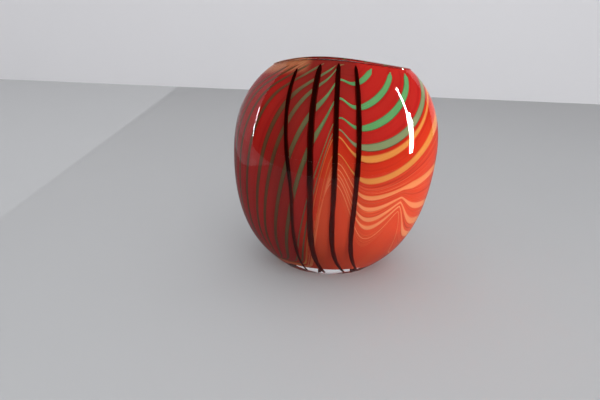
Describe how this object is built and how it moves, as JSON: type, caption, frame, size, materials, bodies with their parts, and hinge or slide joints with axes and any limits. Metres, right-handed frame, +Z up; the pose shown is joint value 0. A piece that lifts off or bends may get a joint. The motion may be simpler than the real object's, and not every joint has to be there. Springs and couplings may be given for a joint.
{
  "type": "vase",
  "caption": "Flattened oval blown glass vase with a long slot mouth, thick clear foot, raked green and amber threads and black trails under a clear casing.",
  "frame": {"origin": "centre of the flat foot, on the surface the vase stands on", "axes": "+X along the slot mouth, to the right seen from the front; +Y to the back, through the body's depth; +Z up"},
  "size_m": [0.1878, 0.116, 0.2034],
  "materials": {
    "clear_glass": "clear, fire polished",
    "red_glass": "crimson, smooth",
    "orange_glass": "opaque orange-red, smooth",
    "lining_glass": "clear, smooth",
    "green_glass": "opaque pale green, smooth",
    "amber_glass": "opaque amber, soft edged",
    "black_glass": "near-black, dark red where thin"
  },
  "bodies": {
    "root": {"clear_casing": "clear_glass", "red_overlay": "red_glass", "orange_underlay": "orange_glass", "clear_lining": "lining_glass", "green_thread_1": "green_glass", "green_thread_2": "green_glass", "green_thread_3": "green_glass", "green_thread_4": "green_glass", "green_thread_5": "green_glass", "green_thread_6": "green_glass", "green_thread_7": "green_glass", "green_thread_8": "green_glass", "green_thread_9": "green_glass", "green_thread_10": "green_glass", "amber_thread_1": "amber_glass", "amber_thread_2": "amber_glass", "amber_thread_3": "amber_glass", "amber_thread_4": "amber_glass", "amber_thread_5": "amber_glass", "amber_thread_6": "amber_glass", "amber_thread_7": "amber_glass", "black_trail_1": "black_glass", "black_trail_2": "black_glass", "black_trail_3": "black_glass", "black_trail_4": "black_glass", "black_trail_5": "black_glass", "black_trail_6": "black_glass", "black_trail_7": "black_glass", "black_trail_8": "black_glass"}
  },
  "joints": []
}
